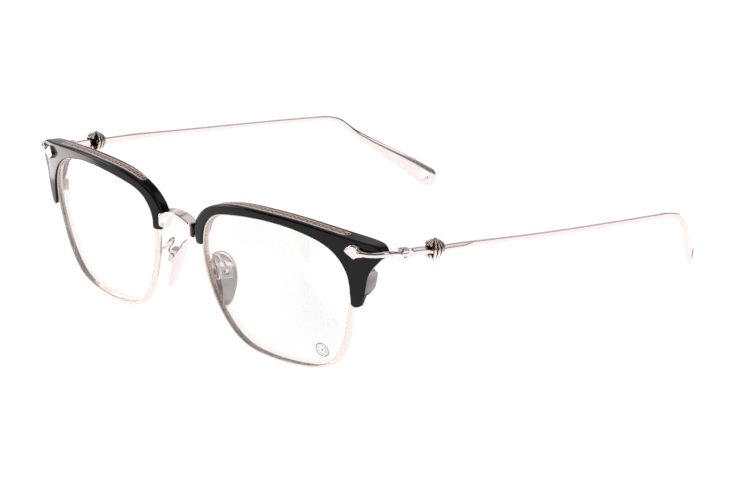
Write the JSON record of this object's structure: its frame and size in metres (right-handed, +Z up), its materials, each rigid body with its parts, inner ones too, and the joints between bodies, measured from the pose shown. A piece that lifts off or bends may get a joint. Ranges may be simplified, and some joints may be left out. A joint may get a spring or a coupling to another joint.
{
  "type": "half rim eyeglasses",
  "caption": "Browline eyeglasses: acetate brows over metal eyewires, metal nose pads on wire arms, thin metal temples that fold.",
  "frame": {"origin": "middle of the bounding box in X and Y, on the plane that the eyewires and temple tips rest on", "axes": "+X to the wearer's left, front facing -Y, temples running to +Y, +Z up"},
  "size_m": [0.1448, 0.1527, 0.0425],
  "materials": {
    "black_acetate": "polished black acetate",
    "polished_metal": "polished white metal with a warm tone",
    "eyewire_metal": "fine beaded, warm silver",
    "rose_metal": "satin rose metal with engraved pattern",
    "knot_metal": "polished ridges, dark grooves",
    "pad_metal": "polished",
    "screw_metal": "turned steel",
    "clear_lens": "clear demonstration lens"
  },
  "bodies": {
    "front": {"bridge": "polished_metal", "brow_left": "black_acetate", "eyewire_left": "eyewire_metal", "lens_left": "clear_lens", "brow_inlay_left": "rose_metal", "endpiece_left": "polished_metal", "hinge_screw_left": "screw_metal", "pad_arm_left": "polished_metal", "rim_lock_left": "polished_metal", "rim_lock_screw_left": "screw_metal", "brow_right": "black_acetate", "eyewire_right": "eyewire_metal", "lens_right": "clear_lens", "brow_inlay_right": "rose_metal", "endpiece_right": "polished_metal", "hinge_screw_right": "screw_metal", "pad_arm_right": "polished_metal", "rim_lock_right": "polished_metal", "rim_lock_screw_right": "screw_metal"},
    "temple_left": {"temple_left": "polished_metal", "temple_knot_left": "knot_metal"},
    "temple_right": {"temple_right": "polished_metal", "temple_knot_right": "knot_metal"},
    "pad_left": {"nose_pad_left": "pad_metal", "pad_box_left": "polished_metal", "pad_screw_left": "screw_metal"},
    "pad_right": {"nose_pad_right": "pad_metal", "pad_box_right": "polished_metal", "pad_screw_right": "screw_metal"}
  },
  "joints": [
    {"name": "temple_fold_left", "type": "hinge", "parent": "front", "child": "temple_left", "pos_m": [0.0688, -0.0577, 0.0355], "axis": [0, 0, 1], "range_deg": [0, 86]},
    {"name": "temple_fold_right", "type": "hinge", "parent": "front", "child": "temple_right", "pos_m": [-0.0688, -0.0577, 0.0355], "axis": [0, 0, -1], "range_deg": [0, 80]},
    {"name": "pad_rock_left", "type": "hinge", "parent": "front", "child": "pad_left", "pos_m": [0.01055, -0.0678, 0.01871], "axis": [0.4392, 0.8983, 0.016], "range_deg": [-8, 8]},
    {"name": "pad_rock_right", "type": "hinge", "parent": "front", "child": "pad_right", "pos_m": [-0.01055, -0.0678, 0.01871], "axis": [-0.4392, 0.8983, 0.016], "range_deg": [-8, 8]}
  ]
}
